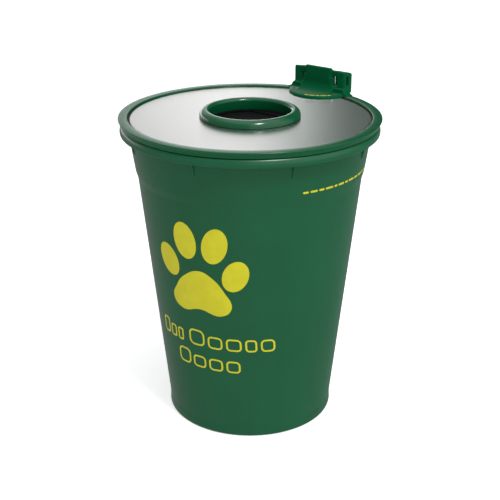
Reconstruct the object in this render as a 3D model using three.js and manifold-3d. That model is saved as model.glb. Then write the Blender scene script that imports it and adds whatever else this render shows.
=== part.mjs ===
// Free-standing dog waste bin: a tapered moulded bucket with a lift-off lid.
// The lid carries a stainless cover plate, a throat with a sprung flap, and a saddle for a post.
// Millimetres, +Z up. The origin is on the bin's axis, at the floor. The post saddle is towards +Y.
import * as THREE from 'three';
import { mergeVertices } from 'three/addons/utils/BufferGeometryUtils.js';
import Module from 'manifold-3d';

const wasm = await Module();
wasm.setup();

// ---------- driving dimensions ----------
const GAP = 0.3; // air between pieces that rest on each other
const ROUND = 52; // facets round the large turned pieces
const SMALL_ROUND = 36; // facets round the throat pieces

const LID_TOP = 485; // height of the lid's top land
const LID_RADIUS = 200;
const PLATE_DROP = 2.4; // the cover plate lies this far below the land
const PLATE_RADIUS = 182.4;
const PLATE_THICK = 1.5;
const PLATE_BOTTOM = -PLATE_DROP - PLATE_THICK;
const GASKET_THICK = 1.2;
const LEDGE_TOP = PLATE_BOTTOM - GASKET_THICK - 2 * GAP; // the lid's ledge under the plate
const LEDGE_BOTTOM = LEDGE_TOP - 3;
const LEDGE_INNER = 160;
const LID_INNER = 185.4; // the lid's inner wall, round the plate
const SKIRT_INNER = 175.9; // the skirt that hangs inside the bucket's rim
const SKIRT_OUTER = 179.8;
const SKIRT_DEPTH = 23;

const WALL = 3.5;
const FLOOR_TOP = 7;
const FOOT_RADIUS = 132.8;
const BASE_BAND = 18; // height of the upright band at the foot
const TAPER_START = 132.3; // outer radius at the top of that band
const STEP_LOW = 394; // the stacking step in the wall
const STEP_HIGH = 405.5;
const STEP_LOW_RADIUS = 172.5;
const STEP_HIGH_RADIUS = 175.9;
const HOOP_LEDGE = 403;
const HOOP_RADIUS = 168.2;
const RIM_TOP = 475;
const RIM_BOTTOM = 461.4;
const RIM_WALL_RADIUS = 184.3; // outer radius of the wall where it meets the rim
const RIM_RADIUS = 197.9;
const GUSSETS = 8;
const GUSSET_TURN = 12.8; // degrees from -Y to the first gusset
const GUSSET_THICK = 2.6;
const GUSSET_FOOT = 440;

const THROAT_RADIUS = 62;
const THROAT_TUBE_RADIUS = 65;
const COLLAR_RADIUS = 77;
const COLLAR_TOP = 9.2;
const COLLAR_CREST = 68; // radius of the collar's highest line
const COLLAR_BOTTOM = -12.6;
const FRAME_TOP = -9.3;
const FRAME_BOTTOM = -21;
const FRAME_INNER = 60;
const FRAME_OUTER = 64.5;
const SEAT_RADIUS = 57; // the frame's lip that the flap closes against
const SEAT_THICK = 1.4;

const FLAP_RADIUS = 59;
const FLAP_TOP = -11;
const FLAP_THICK = 2.5;
const HINGE_Y = 48.5;
const HINGE_Z = -15.5;
const PIN_RADIUS = 2;
const PIN_HALF = 50;
const BARREL_RADIUS = 3.8;

const FASTENER_CIRCLE = 168; // radius of the plate's studs and the saddle's screws
const STUD_COUNT = 6;
const STUD_RADIUS = 2.5;
const STUD_HOLE = 3;
const SCREW_ANGLES = [-13, -4.5, 4.5, 13]; // degrees either side of +Y

const SADDLE_FOOT_Y = 186;
const SADDLE_FOOT_RADIUS = 52;
const SADDLE_FOOT_TOP = 5;
const SADDLE_REAR = 207;
const WEB_HALF = 29; // the web's half width, between the arms
const WEB_FRONT = 176;
const WEB_REAR = 183;
const WEB_TOP = 43;
const ARM_INNER = 36;
const ARM_OUTER = 50;
const ARM_FRONT = 180;
const ARM_TOP = 38;
const TOE_INNER = 20; // the arms turn in to here behind the post groove
const TOE_DEPTH = 10;
const WINDOW_LOW = 14; // the band slot and the windows lie between these heights
const WINDOW_HIGH = 30;
const SLOT_FRONT = 185;
const SLOT_REAR = 193;

// ---------- materials ----------
const finish = (color, roughness, metalness) =>
  new THREE.MeshStandardMaterial({ color, roughness, metalness });
const greenPlastic = () => finish(0x1f5a3d, 0.38, 0);
const blackPlastic = () => finish(0x0b0c0c, 0.5, 0);
const rubber = () => finish(0x141414, 0.85, 0);
const satinSteel = () => finish(0xc4c6c4, 0.28, 1);
const zincSteel = () => finish(0x9a9da0, 0.4, 1);

// ---------- geometry helpers ----------
const radians = (degrees) => (degrees * Math.PI) / 180;

function signedVolume(geometry) {
  const p = geometry.attributes.position;
  const index = geometry.index.array;
  const corner = [0, 1, 2].map(() => new THREE.Vector3());
  let total = 0;
  for (let i = 0; i < index.length; i += 3) {
    corner.forEach((c, k) => c.fromBufferAttribute(p, index[i + k]));
    total += corner[0].dot(corner[1].clone().cross(corner[2]));
  }
  return total / 6;
}

// Shares the corners of a geometry, drops its flat triangles and turns its faces outwards.
function closed(geometry) {
  const plain = geometry.clone();
  plain.deleteAttribute('normal');
  plain.deleteAttribute('uv');
  const merged = mergeVertices(plain, 1e-4);
  const kept = [];
  const index = merged.index.array;
  for (let i = 0; i < index.length; i += 3) {
    const [a, b, c] = [index[i], index[i + 1], index[i + 2]];
    if (a !== b && b !== c && c !== a) kept.push(a, b, c);
  }
  merged.setIndex(kept);
  if (signedVolume(merged) < 0) {
    for (let i = 0; i < kept.length; i += 3) [kept[i], kept[i + 1]] = [kept[i + 1], kept[i]];
    merged.setIndex(kept);
  }
  return merged;
}

function toSolid(geometry) {
  const g = closed(geometry);
  return new wasm.Manifold(new wasm.Mesh({
    numProp: 3,
    vertProperties: new Float32Array(g.attributes.position.array),
    triVerts: new Uint32Array(g.index.array),
  }));
}

function toGeometry(solid) {
  const mesh = solid.getMesh();
  const g = new THREE.BufferGeometry();
  g.setAttribute('position', new THREE.BufferAttribute(mesh.vertProperties, 3));
  g.setIndex(new THREE.BufferAttribute(mesh.triVerts, 1));
  return g;
}

// The first geometry, joined with all of `added` and cut by all of `cut`.
function combine(first, added = [], cut = []) {
  let solid = toSolid(first);
  for (const g of added) solid = solid.add(toSolid(g));
  for (const g of cut) solid = solid.subtract(toSolid(g));
  return toGeometry(solid);
}

const common = (a, b) => toGeometry(toSolid(a).intersect(toSolid(b)));

// A turned piece about Z, from [radius, height] points.
function turned(points, facets = ROUND) {
  const profile = points.map(([r, z]) => new THREE.Vector2(r, z));
  const g = new THREE.LatheGeometry(profile, facets);
  g.rotateX(Math.PI / 2);
  return closed(g);
}

// A turned ring whose [radius, height] section closes on itself.
const turnedRing = (points, facets = ROUND) => turned([...points, points[0]], facets);

// Points round part of a circle, for a rounded corner in a section.
function corner(cx, cy, radius, fromDegrees, toDegrees, steps) {
  return Array.from({ length: steps + 1 }, (_, i) => {
    const a = radians(fromDegrees + ((toDegrees - fromDegrees) * i) / steps);
    return [cx + radius * Math.cos(a), cy + radius * Math.sin(a)];
  });
}

// A box given by its low and high corners.
function block([x0, y0, z0], [x1, y1, z1]) {
  const g = new THREE.BoxGeometry(x1 - x0, y1 - y0, z1 - z0);
  g.translate((x0 + x1) / 2, (y0 + y1) / 2, (z0 + z1) / 2);
  return g;
}

// An upright cylinder from z0 to z1.
function post(radius, z0, z1, x = 0, y = 0, facets = 20) {
  const g = new THREE.CylinderGeometry(radius, radius, z1 - z0, facets);
  g.rotateX(Math.PI / 2);
  g.translate(x, y, (z0 + z1) / 2);
  return g;
}

// A cylinder along X from x0 to x1, about the line through (y, z).
function crossBar(radius, x0, x1, y, z, facets = 20) {
  const g = new THREE.CylinderGeometry(radius, radius, x1 - x0, facets);
  g.rotateZ(Math.PI / 2);
  g.translate((x0 + x1) / 2, y, z);
  return g;
}

// An upright slab from z0 to z1 over a plan outline of [x, y] points.
function slab(outline, z0, z1) {
  const shape = new THREE.Shape(outline.map(([x, y]) => new THREE.Vector2(x, y)));
  const g = new THREE.ExtrudeGeometry(shape, { depth: z1 - z0, bevelEnabled: false });
  g.translate(0, 0, z0);
  return g;
}

const mirrored = (outline) => outline.map(([x, y]) => [-x, y]).reverse();

function part(name, geometry, material, group) {
  const mesh = new THREE.Mesh(geometry, material);
  mesh.name = name;
  group.add(mesh);
  return mesh;
}

// ---------- the bucket ----------
function bucketGeometry() {
  const outer = [
    [0, 0], [22, 0], [23.5, 3], [110, 3], [111.5, 0],
    ...corner(FOOT_RADIUS - 3.2, 3.2, 3.2, -90, 0, 3),
    [TAPER_START, BASE_BAND],
    [STEP_LOW_RADIUS, STEP_LOW],
    [STEP_HIGH_RADIUS, STEP_HIGH],
    [RIM_WALL_RADIUS, RIM_BOTTOM],
    [RIM_WALL_RADIUS + 0.4, RIM_TOP - WALL],
  ];
  const lip = [
    [RIM_RADIUS - WALL, RIM_TOP - WALL],
    [RIM_RADIUS - WALL, RIM_BOTTOM + 1],
    [RIM_RADIUS - 2.6, RIM_BOTTOM],
    [RIM_RADIUS - 1.4, RIM_BOTTOM + 0.3],
    [RIM_RADIUS - 0.3, RIM_BOTTOM + 2.2],
    [RIM_RADIUS, RIM_BOTTOM + 5],
    [RIM_RADIUS - 0.7, RIM_TOP - 4.8],
    [RIM_RADIUS - 1.9, RIM_TOP - 2.2],
    [RIM_RADIUS - 4.1, RIM_TOP - 0.5],
    [RIM_RADIUS - 7.4, RIM_TOP],
  ];
  const inner = [
    [RIM_WALL_RADIUS - WALL + 1.4, RIM_TOP],
    [RIM_WALL_RADIUS - WALL + 0.2, RIM_TOP - 1],
    [RIM_WALL_RADIUS - WALL, RIM_BOTTOM],
    [STEP_HIGH_RADIUS - WALL - 0.4, HOOP_LEDGE],
    [STEP_LOW_RADIUS - WALL + 0.4, HOOP_LEDGE],
    [STEP_LOW_RADIUS - WALL, STEP_LOW],
    [TAPER_START - WALL - 0.6, FLOOR_TOP + 5],
    [TAPER_START - WALL - 2.2, FLOOR_TOP + 1.4],
    [TAPER_START - WALL - 5.6, FLOOR_TOP],
    [0, FLOOR_TOP],
  ];
  const shell = turned([...outer, ...lip, ...inner]);
  const wallAt = (z) =>
    THREE.MathUtils.mapLinear(z, STEP_HIGH, RIM_BOTTOM, STEP_HIGH_RADIUS, RIM_WALL_RADIUS);
  const section = [
    [wallAt(GUSSET_FOOT) - 1.5, GUSSET_FOOT],
    [wallAt(GUSSET_FOOT + 3) + 2.2, GUSSET_FOOT + 3],
    [RIM_WALL_RADIUS + 2.6, RIM_BOTTOM],
    [RIM_RADIUS - WALL + 1, RIM_BOTTOM + 2],
    [RIM_RADIUS - WALL + 1, RIM_TOP - WALL + 1],
    [RIM_WALL_RADIUS - 1.5, RIM_TOP - WALL + 1],
  ];
  const gussets = Array.from({ length: GUSSETS }, (_, i) => {
    const g = slab(section, -GUSSET_THICK / 2, GUSSET_THICK / 2);
    g.rotateX(Math.PI / 2);
    g.rotateZ(radians(GUSSET_TURN - 90 + (360 / GUSSETS) * i));
    return g;
  });
  const drains = [45, 135, 225, 315].map((a) =>
    post(4, -1, FLOOR_TOP + 1, 70 * Math.cos(radians(a)), 70 * Math.sin(radians(a)), 12));
  return combine(shell, gussets, drains);
}

// ---------- the lid's pieces, measured from the lid's top land ----------
const onCircle = (radius, degrees) => {
  const a = radians(degrees);
  return [radius * Math.cos(a), radius * Math.sin(a)];
};
const studPlaces = Array.from({ length: STUD_COUNT }, (_, i) =>
  onCircle(FASTENER_CIRCLE, (360 / STUD_COUNT) * i));
const screwPlaces = SCREW_ANGLES.map((a) => onCircle(FASTENER_CIRCLE, 90 + a));

const holes = (places, radius, z0, z1) => places.map(([x, y]) => post(radius, z0, z1, x, y, 12));

function lidRingGeometry() {
  const seat = RIM_TOP - LID_TOP + GAP; // the underside that rests on the bucket's rim
  const section = [
    [LEDGE_INNER, LEDGE_TOP],
    [LEDGE_INNER, LEDGE_BOTTOM],
    [SKIRT_INNER, LEDGE_BOTTOM],
    [SKIRT_INNER, 1 - SKIRT_DEPTH],
    [SKIRT_INNER + 1, -SKIRT_DEPTH],
    [SKIRT_OUTER - 1, -SKIRT_DEPTH],
    [SKIRT_OUTER, 1 - SKIRT_DEPTH],
    [SKIRT_OUTER, seat],
    [LID_RADIUS - 4, seat],
    [LID_RADIUS - 3.1, seat + 0.9],
    [LID_RADIUS - 0.1, -1.4],
    [LID_RADIUS - 0.5, -0.4],
    [LID_RADIUS - 1.4, 0],
    [LID_INNER + 0.8, 0],
    [LID_INNER, -0.8],
    [LID_INNER, LEDGE_TOP],
  ];
  const places = [...studPlaces, ...screwPlaces];
  return combine(turnedRing(section), [], holes(places, STUD_HOLE, LEDGE_BOTTOM - 1, LEDGE_TOP + 1));
}

function flatRing(inner, outer, z0, z1, facets) {
  return turnedRing([[inner, z0], [outer, z0], [outer, z1], [inner, z1]], facets);
}

function plateGasketGeometry() {
  const top = PLATE_BOTTOM - GAP;
  const ring = flatRing(LEDGE_INNER + 1, 181, top - GASKET_THICK, top);
  return combine(ring, [], holes([...studPlaces, ...screwPlaces], STUD_HOLE, top - 4, top + 2));
}

function coverPlateGeometry() {
  const bevel = 0.5;
  const disc = turnedRing([
    [THROAT_TUBE_RADIUS + 0.8, PLATE_BOTTOM],
    [PLATE_RADIUS, PLATE_BOTTOM],
    [PLATE_RADIUS, -PLATE_DROP - bevel],
    [PLATE_RADIUS - bevel, -PLATE_DROP],
    [THROAT_TUBE_RADIUS + 0.8, -PLATE_DROP],
  ]);
  const studs = holes(studPlaces, STUD_RADIUS, PLATE_BOTTOM - 11, PLATE_BOTTOM + 0.5);
  return combine(disc, studs, holes(screwPlaces, STUD_HOLE, PLATE_BOTTOM - 1, 0));
}

function nutGeometry() {
  const hex = new THREE.CylinderGeometry(4.6, 4.6, 4, 6);
  hex.rotateX(Math.PI / 2);
  return combine(hex, [], [post(STUD_RADIUS + GAP, -3, 3, 0, 0, 12)]);
}

function saddleScrewGeometry() {
  const length = 12.8;
  const head = [[0, -3], [4, -3], [5, -2.2], [5, 0]];
  return turned([...head, [STUD_RADIUS, 0], [STUD_RADIUS, length], [0, length]], 12);
}

// ---------- the throat ----------
function collarGeometry() {
  const foot = -PLATE_DROP + GAP;
  const bead = COLLAR_RADIUS - COLLAR_CREST;
  return turnedRing([
    [THROAT_TUBE_RADIUS, foot],
    [COLLAR_RADIUS, foot],
    ...corner(COLLAR_CREST, COLLAR_TOP - bead, bead, 0, 90, 6),
    [THROAT_RADIUS + 2.6, COLLAR_TOP - 0.4],
    [THROAT_RADIUS + 0.9, COLLAR_TOP - 1.6],
    [THROAT_RADIUS, COLLAR_TOP - 3.6],
    [THROAT_RADIUS, FRAME_TOP + GAP],
    [THROAT_RADIUS + 1.5, FRAME_TOP + GAP],
    [THROAT_RADIUS + 1.5, COLLAR_BOTTOM],
    [THROAT_TUBE_RADIUS, COLLAR_BOTTOM],
  ], SMALL_ROUND);
}

function lockRingGeometry() {
  const top = PLATE_BOTTOM - GASKET_THICK - 2 * GAP;
  const ring = flatRing(THROAT_TUBE_RADIUS + 0.5, 79, top - 5.2, top, SMALL_ROUND);
  const notches = Array.from({ length: 8 }, (_, i) => {
    const g = block([75, -4, top - 6], [82, 4, top - 2.4]);
    g.rotateZ(radians(45 * i));
    return g;
  });
  return combine(ring, [], notches);
}

function flapFrameGeometry() {
  const sleeveTop = THROAT_RADIUS + 1.2;
  const ring = turnedRing([
    [SEAT_RADIUS, FRAME_TOP],
    [SEAT_RADIUS, FRAME_TOP - SEAT_THICK],
    [FRAME_INNER, FRAME_TOP - SEAT_THICK],
    [FRAME_INNER, FRAME_BOTTOM],
    [FRAME_OUTER, FRAME_BOTTOM],
    [FRAME_OUTER, COLLAR_BOTTOM - GAP],
    [sleeveTop, COLLAR_BOTTOM - GAP],
    [sleeveTop, FRAME_TOP],
  ], SMALL_ROUND);
  const disc = post(FRAME_INNER + 1, FRAME_TOP - SEAT_THICK, FRAME_TOP, 0, 0, SMALL_ROUND);
  const hood = common(disc, block([-70, HINGE_Y - 4.5, -30], [70, 70, 0]));
  const bore = crossBar(PIN_RADIUS + 0.2, -70, 70, HINGE_Y, HINGE_Z, 16);
  return combine(ring, [hood], [bore]);
}

// The flap's own pieces are measured from its hinge pin.
function flapGeometry() {
  const top = FLAP_TOP - HINGE_Z;
  const rear = -3;
  const disc = post(FLAP_RADIUS, top - FLAP_THICK, top, 0, -HINGE_Y, SMALL_ROUND);
  const half = [[70, -120], [70, -52], [50, -23.5], [36, rear]];
  const plate = common(disc, slab([...half, ...mirrored(half)], -20, 20));
  const knuckles = [-1, 1].flatMap((side) => {
    const [x0, x1] = side > 0 ? [17, 26] : [-26, -17];
    const arm = block([x0, rear - 4, 0.5], [x1, 0, top - 0.4]);
    return [crossBar(BARREL_RADIUS, x0, x1, 0, 0, 16), arm];
  });
  const bore = crossBar(PIN_RADIUS + 0.2, -40, 40, 0, 0, 16);
  const ribs = [-22, 22].map((x) => block([x - 1.2, -92, top - FLAP_THICK - 2], [x + 1.2, -34, top - 1]));
  return combine(plate, [...knuckles, ...ribs], [bore]);
}

// A torsion spring wound round the pin, its tail tucked under the flap.
class SpringLine extends THREE.Curve {
  constructor(side) {
    super();
    this.side = side;
  }

  getPoint(t, target = new THREE.Vector3()) {
    const turns = 4.25;
    const coilShare = 0.86;
    const radius = 3.25;
    const length = 9;
    const s = Math.min(t / coilShare, 1);
    const angle = -2 * Math.PI * turns * s;
    const x = this.side * (5 + length * s);
    const tail = Math.max(0, t - coilShare) / (1 - coilShare);
    const y = radius * Math.cos(angle) - 22 * tail;
    const z = radius * Math.sin(angle) + 2.0 * tail;
    return target.set(x, y, z);
  }
}

function springGeometry(side) {
  const wire = new THREE.Shape();
  wire.absarc(0, 0, 0.45, 0, 2 * Math.PI);
  const line = new SpringLine(side);
  return closed(new THREE.ExtrudeGeometry(wire, { steps: 42, curveSegments: 5, extrudePath: line }));
}

function clipGeometry() {
  const ring = crossBar(4, -0.5, 0.5, 0, 0, 16);
  const mouth = block([-2, -5, -1.6], [2, 0, 1.6]);
  return combine(ring, [], [crossBar(PIN_RADIUS + 0.1, -2, 2, 0, 0, 16), mouth]);
}

// ---------- the post saddle ----------
function saddleGeometry() {
  const inside = LID_INNER - 2 * GAP; // the foot's lower step clears the flats of the lid's inner wall
  const frontRound = 6;
  const rearRound = 10;
  const chamfer = 4;
  const lap = 1; // how far joined solids reach into each other
  const bottom = SADDLE_FOOT_TOP - 3;
  const footDisc = post(SADDLE_FOOT_RADIUS, GAP, SADDLE_FOOT_TOP, 0, SADDLE_FOOT_Y, 40);
  const foot = common(footDisc, post(LID_RADIUS - 1, -5, 10, 0, 0, 128));
  const padDisc = post(SADDLE_FOOT_RADIUS, -PLATE_DROP + GAP, GAP + lap, 0, SADDLE_FOOT_Y, 40);
  const pad = common(padDisc, post(inside, -5, 3, 0, 0, 128));
  const web = block([-WEB_HALF, WEB_FRONT, bottom], [WEB_HALF, WEB_REAR, WEB_TOP]);
  const toeFront = SADDLE_REAR - TOE_DEPTH;
  const arm = [
    [ARM_INNER, ARM_FRONT],
    ...corner(ARM_OUTER - frontRound, ARM_FRONT + frontRound, frontRound, -90, 0, 4),
    ...corner(ARM_OUTER - rearRound, toeFront, rearRound, 0, 90, 5),
    [TOE_INNER + chamfer, SADDLE_REAR],
    [TOE_INNER, SADDLE_REAR - chamfer],
    [TOE_INNER, toeFront],
    [ARM_INNER, toeFront],
  ];
  const arms = [arm, mirrored(arm)].map((outline) => slab(outline, bottom, ARM_TOP));
  const joins = [[WEB_HALF - lap, ARM_INNER + lap], [-ARM_INNER - lap, -WEB_HALF + lap]].map(([x0, x1]) =>
    block([x0, ARM_FRONT, bottom], [x1, ARM_FRONT + 6, ARM_TOP]));
  const bandSlot = block([-60, SLOT_FRONT, WINDOW_LOW], [60, SLOT_REAR, WINDOW_HIGH]);
  const windows = [[WEB_HALF, ARM_INNER], [-ARM_INNER, -WEB_HALF]].map(([x0, x1]) =>
    block([x0, WEB_FRONT - 6, WINDOW_LOW], [x1, SLOT_FRONT + 5, WINDOW_HIGH]));
  const screwHoles = holes(screwPlaces, STUD_RADIUS + GAP, -5, SADDLE_FOOT_TOP - 1);
  return combine(foot, [pad, web, ...arms, ...joins], [bandSlot, ...windows, ...screwHoles]);
}

// ---------- the assembly ----------
const wasteBin = new THREE.Group();

part('bin_body', bucketGeometry(), greenPlastic(), wasteBin);

const hoopWire = 3;
const hoopGeometry = closed(new THREE.TorusGeometry(HOOP_RADIUS, hoopWire, 6, ROUND));
const hoop = part('bag_hoop', hoopGeometry, zincSteel(), wasteBin);
hoop.position.z = HOOP_LEDGE + hoopWire + GAP;

const lid = new THREE.Group();
lid.position.z = LID_TOP;
wasteBin.add(lid);

part('lid_ring', lidRingGeometry(), greenPlastic(), lid);
part('plate_gasket', plateGasketGeometry(), rubber(), lid);
part('cover_plate', coverPlateGeometry(), satinSteel(), lid);
studPlaces.forEach(([x, y], i) => {
  const nut = part(`plate_nut_${i + 1}`, nutGeometry(), zincSteel(), lid);
  nut.position.set(x, y, LEDGE_BOTTOM - GAP - 2);
});

part('throat_collar', collarGeometry(), greenPlastic(), lid);
const washerTop = PLATE_BOTTOM - GAP;
const collarGasket = flatRing(THROAT_TUBE_RADIUS + 0.6, 78, washerTop - GASKET_THICK, washerTop, SMALL_ROUND);
part('collar_gasket', collarGasket, rubber(), lid);
part('collar_lock_ring', lockRingGeometry(), blackPlastic(), lid);
part('flap_frame', flapFrameGeometry(), blackPlastic(), lid);

const hinge = new THREE.Group();
hinge.position.set(0, HINGE_Y, HINGE_Z);
lid.add(hinge);
part('throat_flap', flapGeometry(), blackPlastic(), hinge);
part('flap_pin', crossBar(PIN_RADIUS, -PIN_HALF, PIN_HALF, 0, 0, 16), zincSteel(), hinge);
for (const [name, side] of [['left', -1], ['right', 1]]) {
  part(`flap_spring_${name}`, springGeometry(side), zincSteel(), hinge);
  const clip = part(`pin_clip_${name}`, clipGeometry(), zincSteel(), hinge);
  clip.position.x = side * 47.6;
}

part('post_saddle', saddleGeometry(), greenPlastic(), lid);
screwPlaces.forEach(([x, y], i) => {
  const screw = part(`saddle_screw_${i + 1}`, saddleScrewGeometry(), zincSteel(), lid);
  screw.position.set(x, y, LEDGE_BOTTOM - GAP);
});

export default wasteBin;
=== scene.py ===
from math import cos, degrees, pi, radians, sin

import bpy
from mathutils import Matrix, Vector


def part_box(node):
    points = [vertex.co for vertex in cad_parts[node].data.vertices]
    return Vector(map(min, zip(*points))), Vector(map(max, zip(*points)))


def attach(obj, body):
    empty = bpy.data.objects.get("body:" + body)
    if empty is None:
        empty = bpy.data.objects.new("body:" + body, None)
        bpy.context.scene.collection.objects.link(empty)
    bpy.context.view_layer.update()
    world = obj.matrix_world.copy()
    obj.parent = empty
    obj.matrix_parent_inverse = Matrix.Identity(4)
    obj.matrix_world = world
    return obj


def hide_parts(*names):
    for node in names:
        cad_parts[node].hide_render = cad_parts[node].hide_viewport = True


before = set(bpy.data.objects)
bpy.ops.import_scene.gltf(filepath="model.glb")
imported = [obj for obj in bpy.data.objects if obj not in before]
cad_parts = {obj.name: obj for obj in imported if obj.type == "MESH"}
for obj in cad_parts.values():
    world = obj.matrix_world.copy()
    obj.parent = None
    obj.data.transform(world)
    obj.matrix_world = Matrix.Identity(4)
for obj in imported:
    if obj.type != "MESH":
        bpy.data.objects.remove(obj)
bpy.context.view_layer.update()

MM = 0.001
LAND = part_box("lid_ring")[1].z / MM  # the lid's flat top
LID_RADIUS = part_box("lid_ring")[1].x / MM
RIM_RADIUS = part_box("bin_body")[1].x / MM
RIM_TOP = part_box("bin_body")[1].z / MM
PLATE_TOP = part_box("cover_plate")[1].z / MM
PLATE_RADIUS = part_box("cover_plate")[1].x / MM
HINGE_Z = (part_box("flap_pin")[0].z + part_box("flap_pin")[1].z) / 2 / MM
HINGE_Y = (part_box("flap_pin")[0].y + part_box("flap_pin")[1].y) / 2 / MM
SADDLE_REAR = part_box("post_saddle")[1].y / MM
SADDLE_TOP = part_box("post_saddle")[1].z / MM
AIR = 0.3  # the gap between pieces that lie on each other


# ---------- modelling helpers ----------
WELD = 1e-7  # metres; points closer than this are one point


def start_clean():
    if bpy.context.mode != "OBJECT":
        bpy.ops.object.mode_set(mode="OBJECT")
    bpy.ops.object.select_all(action="DESELECT")


def pick(*objects):
    start_clean()
    for obj in objects:
        obj.select_set(True)
    bpy.context.view_layer.objects.active = objects[0]


def open_mesh(obj, mode="VERT"):
    pick(obj)
    bpy.ops.object.mode_set(mode="EDIT")
    bpy.ops.mesh.select_mode(type=mode)
    bpy.ops.mesh.select_all(action="DESELECT")


def close_mesh():
    bpy.ops.object.mode_set(mode="OBJECT")


def select_where(obj, kind, test):
    """Selects the vertices, edges or faces of an open mesh that pass the test."""
    bpy.ops.mesh.select_all(action="DESELECT")
    bpy.ops.object.mode_set(mode="OBJECT")
    for item in getattr(obj.data, kind):
        item.select = bool(test(item))
    bpy.ops.object.mode_set(mode="EDIT")


def settle(obj):
    """Puts the object's place into its mesh."""
    pick(obj)
    bpy.ops.object.transform_apply(location=True, rotation=True, scale=True)
    return obj


def named(obj, name):
    obj.name = name
    obj.data.name = name
    return obj


def move_mesh(obj, matrix):
    obj.data.transform(matrix)
    obj.data.update()
    return obj


def copy_of(obj, name, matrix):
    """Another object with a mesh of its own, moved by the matrix."""
    twin = obj.copy()
    twin.data = obj.data.copy()
    bpy.context.scene.collection.objects.link(twin)
    named(twin, name)
    return move_mesh(twin, matrix)


def join(first, *others):
    if others:
        pick(first, *others)
        bpy.ops.object.join()
    return first


def modify(obj, kind, **settings):
    """Adds a modifier and applies it."""
    pick(obj)
    step = obj.modifiers.new(kind.lower(), kind)
    for key, value in settings.items():
        setattr(step, key, value)
    bpy.ops.object.modifier_apply(modifier=step.name)
    return obj


def combine(obj, other, operation):
    """A boolean with another object, which is used up."""
    modify(obj, "BOOLEAN", object=other, operation=operation, solver="EXACT")
    bpy.data.objects.remove(other)
    return obj


def smooth(obj, angle=35):
    """Smooth shading across edges flatter than the angle, in degrees."""
    pick(obj)
    bpy.ops.object.shade_smooth_by_angle(angle=radians(angle))
    return obj


def tidy_normals(obj, merge=0.00001):
    """Welds a mesh's doubled points and turns all its faces outward."""
    open_mesh(obj)
    bpy.ops.mesh.select_all(action="SELECT")
    bpy.ops.mesh.remove_doubles(threshold=merge)
    bpy.ops.mesh.normals_make_consistent(inside=False)
    close_mesh()
    return obj


def on_plane(point, plane):
    """An outline's point as a place in space."""
    across, up = point[:2]
    return Vector((across, 0, up) if plane == "XZ" else (across, up, 0)) * MM


def draw(points, name, plane="XZ"):
    """Draws an outline point by point in a plane, in millimetres, and leaves the mesh open.
    A point is (across, up) or (across, up, rounding)."""
    start_clean()
    bpy.ops.mesh.primitive_plane_add(size=MM)
    obj = named(bpy.context.active_object, name)
    bpy.ops.object.mode_set(mode="EDIT")
    bpy.ops.mesh.select_mode(type="VERT")
    bpy.ops.mesh.select_all(action="SELECT")
    bpy.ops.mesh.merge(type="CENTER")
    at = on_plane(points[0], plane)
    bpy.ops.transform.translate(value=at)
    for point in points[1:]:
        to = on_plane(point, plane)
        bpy.ops.mesh.extrude_region_move(TRANSFORM_OT_translate={"value": to - at})
        at = to
    return obj


def round_corners(obj, points, plane="XZ"):
    """Bevels the outline's corners that ask for it, each by its own size."""
    for size in sorted({p[2] for p in points if len(p) > 2}):
        places = [on_plane(p, plane) for p in points if len(p) > 2 and p[2] == size]
        select_where(obj, "vertices", lambda v: any((v.co - q).length < 1e-6 for q in places))
        bpy.ops.mesh.bevel(affect="VERTICES", offset=size * MM, segments=4 if size > 0.5 else 2,
                           clamp_overlap=True)


def outlined(name, points, plane="XZ", closed=True):
    """An open mesh that holds an outline with its corners rounded, all of it selected."""
    obj = draw([*points, points[0]] if closed else points, name, plane)
    bpy.ops.mesh.select_all(action="SELECT")
    bpy.ops.mesh.remove_doubles(threshold=WELD)
    round_corners(obj, points, plane)
    bpy.ops.mesh.select_all(action="SELECT")
    return obj


def turned(name, points, steps=160, ring=True):
    """A turned piece: a section of (radius, height, rounding) points, spun about Z.
    A ring's section is a closed loop; any other starts and ends on the axis."""
    obj = outlined(name, points, closed=ring)
    bpy.ops.mesh.spin(steps=steps, angle=2 * pi, center=(0, 0, 0), axis=(0, 0, 1))
    close_mesh()
    return smooth(tidy_normals(obj))


def extruded(name, points, low, high, plane="XY"):
    """A flat outline drawn in a plane and pushed from low to high along the third axis."""
    obj = outlined(name, points, plane)
    bpy.ops.mesh.edge_face_add()
    lift = Vector((0, 0, 1)) if plane == "XY" else Vector((0, 1, 0))
    bpy.ops.transform.translate(value=lift * low * MM)
    bpy.ops.mesh.extrude_region_move(TRANSFORM_OT_translate={"value": lift * (high - low) * MM})
    close_mesh()
    return tidy_normals(obj)


def block(name, low, high):
    """A box between two corners, in millimetres; a start for booleans."""
    start_clean()
    low, high = Vector(low) * MM, Vector(high) * MM
    bpy.ops.mesh.primitive_cube_add(size=1, location=(low + high) / 2, scale=high - low)
    return settle(named(bpy.context.active_object, name))


def rod(name, radius, start, end, sides=24):
    """A cylinder between two points, in millimetres; a start for booleans."""
    start_clean()
    start, end = Vector(start) * MM, Vector(end) * MM
    along = end - start
    turn = along.to_track_quat("Z", "Y").to_euler()
    bpy.ops.mesh.primitive_cylinder_add(vertices=sides, radius=radius * MM, depth=along.length,
                                        location=(start + end) / 2, rotation=turn)
    return settle(named(bpy.context.active_object, name))


def about_z(angle):
    """A turn about the axis, in degrees."""
    return Matrix.Rotation(radians(angle), 4, "Z")


def shift(x, y, z):
    """A move, in millimetres."""
    return Matrix.Translation(Vector((x, y, z)) * MM)


def around(obj, count, first=0.0):
    """The object and its copies evenly round Z, joined into one."""
    move_mesh(obj, about_z(first))
    twins = [copy_of(obj, f"{obj.name}_{i}", about_z(360 / count * i)) for i in range(1, count)]
    return join(obj, *twins)


def on_circle(radius, angle):
    """The (x, y) of a place on a circle about the axis, at an angle from +X."""
    return radius * cos(radians(angle)), radius * sin(radians(angle))


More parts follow.
